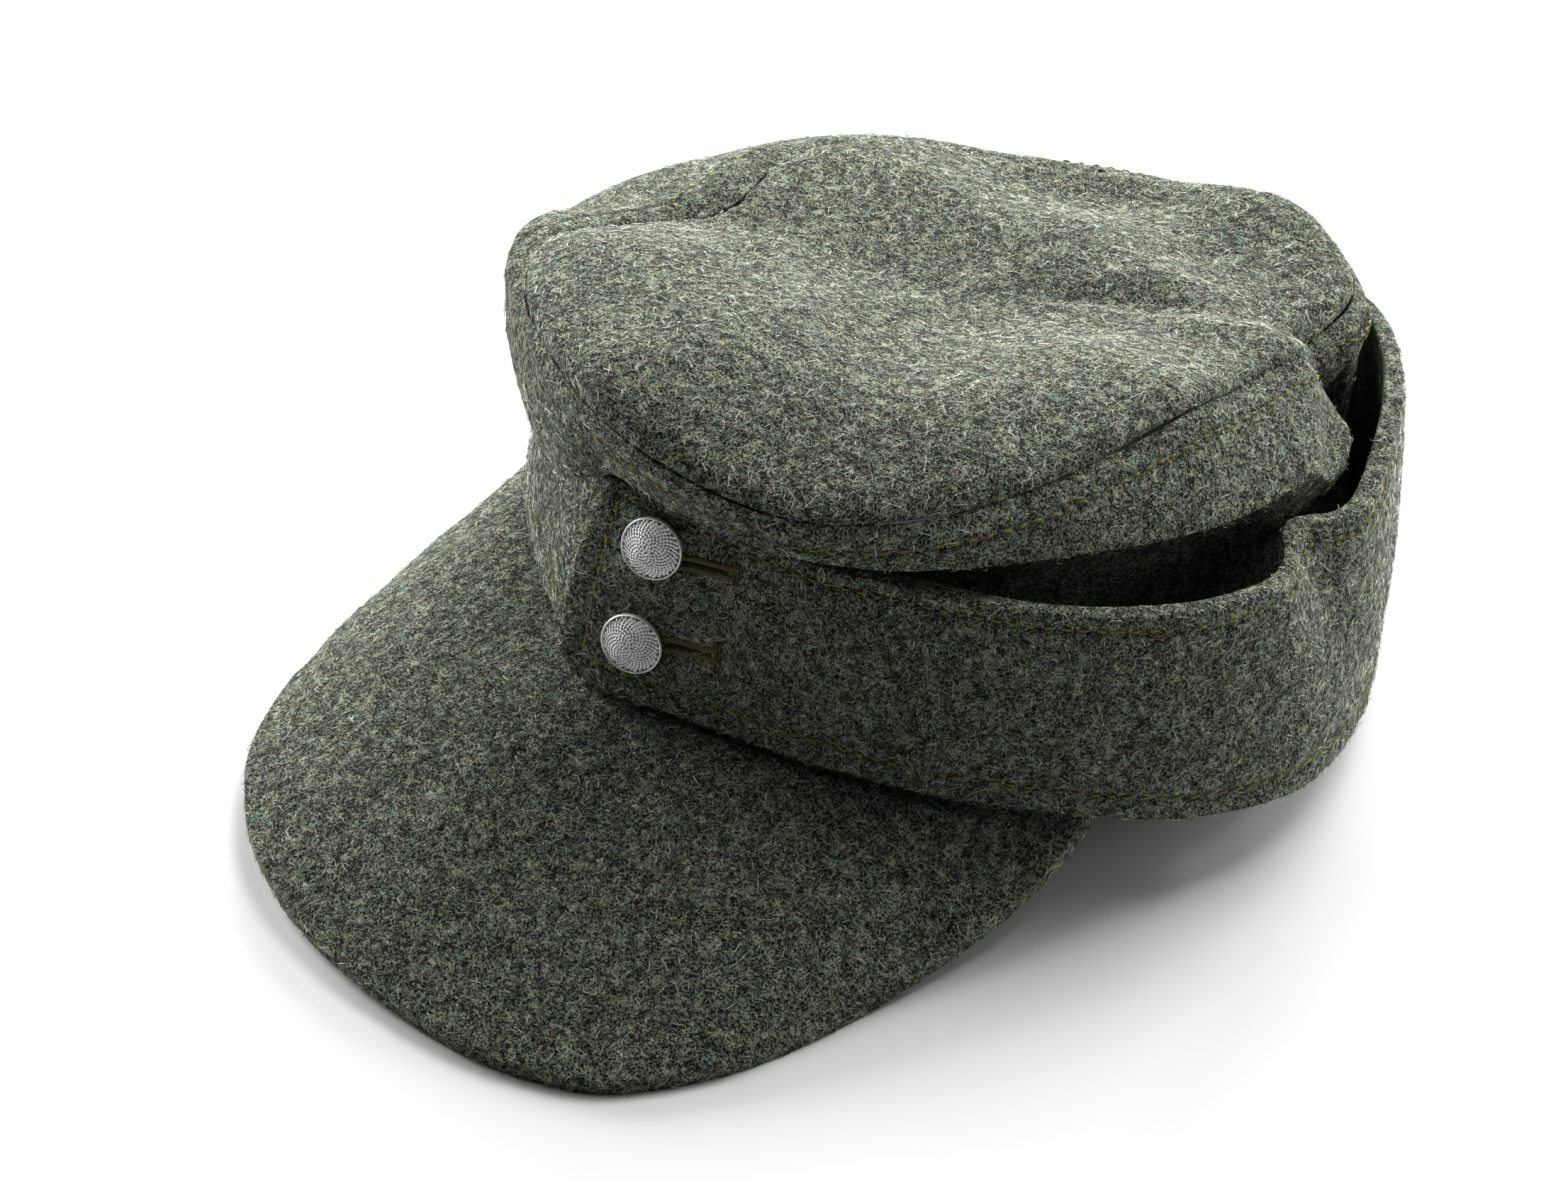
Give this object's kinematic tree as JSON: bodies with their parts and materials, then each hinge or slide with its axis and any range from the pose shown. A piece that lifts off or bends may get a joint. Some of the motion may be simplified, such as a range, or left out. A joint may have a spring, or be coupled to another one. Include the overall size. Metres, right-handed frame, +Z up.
{
  "type": "field cap",
  "caption": "Soft wool field cap with a turned-up flap closed by metal buttons at the front, and a cloth-covered peak",
  "frame": {"origin": "on the table, under the middle of the cap's bounding box", "axes": "+Z up; the peak points along -Y and the back of the cap is at +Y; the wearer's left is +X"},
  "size_m": [0.186, 0.2504, 0.0936],
  "materials": {
    "wool": "thick felted field-grey wool with pale, olive and blue-green fibres and a fuzzy nap",
    "button_metal": "pebbled grey metal with a bright plain rim"
  },
  "bodies": {
    "root": {"crown_side": "wool", "crown_top": "wool", "flap_left": "wool", "flap_right": "wool", "peak": "wool", "button_upper": "button_metal", "button_lower": "button_metal"}
  },
  "joints": []
}
